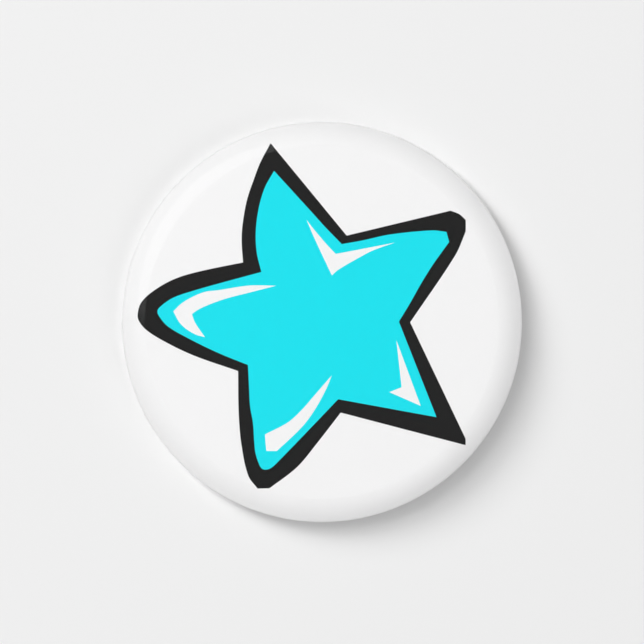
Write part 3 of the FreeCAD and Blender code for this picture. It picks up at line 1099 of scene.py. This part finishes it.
# %% Metal finishes
def ramp(tree, value, low, high):
    """0 below low and 1 above high, with a straight rise between them."""
    sockets = {"Value": value, "From Min": low, "From Max": high}
    return node(tree, "MapRange", sockets=sockets)


SCRATCH_LINES = (0.05, 3.5, 3.5)
SCRATCH_LEVEL = (0.74, 0.78)   # how rare and how sharp the scratches are
RUBBED = 0.05                  # how much smoother a rubbed edge is


def metal_finish(name, colour, rough, lines, line_depth):
    """A bright metal. Lines is how its lines are stretched, per mm along X, Y and Z."""
    material, tree = new_finish(name)
    place = on_piece(tree)
    haze = noise(tree, place, 0.22, 3.0)
    grain = noise(tree, on_piece(tree, lines), 1.0, 4.0)
    scratch = ramp(tree, noise(tree, on_piece(tree, SCRATCH_LINES), 1.0, 0.0), *SCRATCH_LEVEL)
    edge = ramp(tree, node(tree, "NewGeometry", output="Pointiness"), 0.52, 0.60)
    marks = ramp(tree, grain * 0.6 + haze * 0.4, 0.38, 0.62)
    dark = tuple(value * 0.86 for value in colour)
    paint = between(tree, marks, dark, colour)
    bright = tuple(min(0.97, value * 1.12) for value in colour)
    paint = between(tree, edge * 0.6, paint, bright)
    height = grain - scratch * 0.25
    mean_marks = 0.12          # what haze and grain add to the roughness on average
    wear = haze * 0.14 + grain * 0.10 + scratch * 0.06 - edge * RUBBED
    sockets = {
        "Base Color": paint,
        "Metallic": 1.0,
        "Roughness": wear + (rough - mean_marks),
        "Normal": bump(tree, height, line_depth),
    }
    show(tree, node(tree, "BsdfPrincipled", sockets=sockets))
    return material


# %% [markdown]
# The four metals differ in colour, in how rough they are, and in how long and close their lines are.
# The tin shell inside the badge keeps its own mesh from the frame, and only takes the tinplate finish.

# %% The badge's metals
tinplate = metal_finish("tinplate", (0.76, 0.76, 0.755), 0.30, (0.10, 3.2, 3.2), 0.0010)
nickel = metal_finish("nickel_plate", (0.72, 0.705, 0.68), 0.22, (0.4, 5.0, 5.0), 0.0008)
rivet_steel = metal_finish("rivet_steel", (0.62, 0.61, 0.60), 0.28, (3.0, 3.0, 3.0), 0.0012)
stem_steel = metal_finish("stem_steel", (0.66, 0.67, 0.69), 0.16, (0.25, 8.0, 8.0), 0.0008)
for piece, finish in (
    (plate, tinplate), (bar, nickel), (barrel, nickel),
    (rivets, rivet_steel), (hinge_pin, rivet_steel), (stem, stem_steel),
):
    piece.data.materials.clear()
    piece.data.materials.append(finish)
for slot in frame["nodes"]["front_shell"].material_slots:
    slot.material = tinplate
print("metals:", [finish.name for finish in (tinplate, nickel, rivet_steel, stem_steel)])

# %% [markdown]
# ## Camera
#
# The badge is seen square on from above with a long lens, which keeps its round edge free of
# perspective. The camera's height follows from how much of the rim's plane it should take in.

# %% Camera
FOCAL, SENSOR = 300, 36
PICTURE_WIDTH = 91.77      # of the plane through the rim
RIM_LEVEL = 1.35
FARTHEST_SEEN = 20         # metres
camera_data = bpy.data.cameras.new("camera")
camera_data.lens = FOCAL
camera_data.sensor_width = SENSOR
camera_data.clip_end = FARTHEST_SEEN
camera = bpy.data.objects.new("camera", camera_data)
bpy.context.scene.collection.objects.link(camera)
bpy.context.scene.camera = camera
camera.location = UP * (PICTURE_WIDTH * FOCAL / SENSOR + RIM_LEVEL) * MM
bpy.context.scene.view_settings.view_transform = "Standard"
print(f"camera {camera.location.z:.2f} m above the floor")

# %% [markdown]
# ## Floor
#
# The floor is a plain pale sheet with a round opening under the badge, which the badge hides, and it
# is clear from below. So the clasp can be seen and lit from underneath, and the stem can swing open.
# It is a ring that grows outwards by extruding its edge and scaling it.

# %% Floor
OPENING_RADIUS, OPENING_SIDES = 27.3, 128
FLOOR_LEVEL = -0.02
bpy.ops.object.select_all(action="DESELECT")
bpy.ops.mesh.primitive_circle_add(
    vertices=OPENING_SIDES, radius=OPENING_RADIUS * MM, location=(0, 0, 0),
)
floor = bpy.context.object
floor.name = "floor"
edit(floor)
bpy.ops.transform.translate(value=(0, 0, FLOOR_LEVEL * MM))
for growth in (1.5, 3.0, 5.0, 6.0):
    bpy.ops.mesh.extrude_region_move()
    bpy.ops.transform.resize(value=(growth, growth, 1), center_override=(0, 0, 0))
done()
face_forward(floor)
floor_finish, tree = new_finish("pale_floor")
grain = noise(tree, on_piece(tree), 3.0, 3.0)
paint = between(tree, grain, (0.80, 0.80, 0.80), (0.81, 0.81, 0.81))
matt = node(tree, "BsdfDiffuse", sockets={"Color": paint})
clear = node(tree, "BsdfTransparent")
below = node(tree, "NewGeometry", output="Backfacing")
show(tree, node(tree, "MixShader", sockets={0: below, 1: matt, 2: clear}))
floor.data.materials.append(floor_finish)
print(f"floor {floor.dimensions.x:.1f} m wide")

# %% [markdown]
# ## Lamps
#
# All lamps are round area lamps, like soft boxes, so far off that they could light a whole table.
# Light linking lets each act on some things only, through groups that take the floor in or leave it
# out. A lamp's azimuth is counted from +X towards +Y, and its elevation from the floor, in degrees.

# %% Tools for lamps
LAMP_DISTANCE = 3.0        # metres


def lamp(name, azimuth, elevation, spread, light, mirrored=True):
    """A round soft lamp aimed at the badge. Spread is its width over its distance.

    Light is what it adds to a level white surface."""
    data = bpy.data.lights.new(name, "AREA")
    data.shape = "DISK"
    data.size = spread * LAMP_DISTANCE
    data.energy = light * (math.pi * LAMP_DISTANCE) ** 2 / abs(math.sin(elevation * DEGREE))
    made = bpy.data.objects.new(name, data)
    bpy.context.scene.collection.objects.link(made)
    level = math.cos(elevation * DEGREE)
    towards = Vector((
        level * math.cos(azimuth * DEGREE),
        level * math.sin(azimuth * DEGREE),
        math.sin(elevation * DEGREE),
    ))
    made.location = towards * LAMP_DISTANCE
    made.visible_glossy = mirrored
    made.rotation_mode = "QUATERNION"
    made.rotation_quaternion = towards.to_track_quat("Z", "Y")
    return made


def floor_group(name, state):
    """A group for light linking that holds only the floor, to take it in or to leave it out."""
    group = bpy.data.collections.new(name)
    group.objects.link(floor)
    group.collection_objects[0].light_linking.link_state = state
    return group


# %% [markdown]
# The badge and the floor have lamps of their own. The badge takes large, very soft lamps from all
# round, of which only one is mirrored in the film, as a wide faint sheen at the upper left. The floor
# takes smaller ones, mostly from the upper left at three heights: the low one casts the long pale part
# of the shadow, and the steep one the dark part that hugs the rim.

# %% Lamps on the badge and on the floor
floor_only = floor_group("floor_only", "INCLUDE")
not_the_floor = floor_group("not_the_floor", "EXCLUDE")
for made in (
    lamp("key", 140, 55, 0.8, 0.146, mirrored=False),
    lamp("key_gloss", 140, 50, 0.9, 0.09),
    lamp("left", 200, 45, 0.8, 0.240, mirrored=False),
    lamp("top", 80, 45, 0.8, 0.214, mirrored=False),
    lamp("fill", 320, 30, 0.8, 0.09, mirrored=False),
    lamp("fill_high", 320, 60, 0.6, 0.080, mirrored=False),
):
    made.light_linking.receiver_collection = not_the_floor
for made in (
    lamp("floor_low", 140, 28, 0.35, 0.31),
    lamp("floor_high", 140, 46, 0.4, 0.24),
    lamp("floor_steep", 140, 68, 0.5, 0.11),
    lamp("floor_fill", 320, 35, 0.5, 0.10),
):
    made.light_linking.receiver_collection = floor_only

# %% [markdown]
# Three more lamps stand below and aren't blocked by the floor. One lights the rolled rim from straight
# below, and two light only the metal: a wide one that the tinplate mirrors as a soft gradient, and a
# small one that puts a bright line on each bend.

# %% Lamps below
metal_only = floor_group("metal_only", "EXCLUDE")
for position, piece in enumerate((film, sheet), 1):
    metal_only.objects.link(piece)
    metal_only.collection_objects[position].light_linking.link_state = "EXCLUDE"
under_rim = lamp("under_rim", 300, -85, 0.5, 0.30, mirrored=False)
under_rim.light_linking.receiver_collection = not_the_floor
under_metal = [
    lamp("under_soft", 60, -60, 0.9, 0.14),
    lamp("under_bright", 240, -40, 0.3, 0.08),
]
for made in under_metal:
    made.light_linking.receiver_collection = metal_only
for made in (under_rim, *under_metal):
    made.light_linking.blocker_collection = not_the_floor

# %% [markdown]
# ## Surround
#
# The rest of the light comes evenly from all sides, a little stronger from straight below, which gives
# the metal a gradient to mirror. Where it is seen directly, past the floor, it is a pale ground.

# %% Surround
SURROUND, SURROUND_BELOW = 0.34, 1.4     # its strength, and how many times that straight below
SURROUND_SEEN = 0.85
world = bpy.data.worlds.new("surround")
bpy.context.scene.world = world
world.use_nodes = True
sky = world.node_tree
level = node(sky, "SeparateXYZ", sockets={0: node(sky, "TexCoord", output="Generated")}, output=2)
down = node(sky, "Math", {"operation": "MAXIMUM"}, {0: level * -1.0, 1: 0.0})
strength = SURROUND + down * (SURROUND * (SURROUND_BELOW - 1))
seen = node(sky, "LightPath", output="Is Camera Ray")
strength = strength + seen * (SURROUND_SEEN - strength)
background = sky.nodes["Background"]
sky.links.new(strength.output, background.inputs["Strength"])
background.inputs["Color"].default_value = (1, 1, 1, 1)
print("surround:", SURROUND, "all round,", SURROUND_SEEN, "where it is seen")
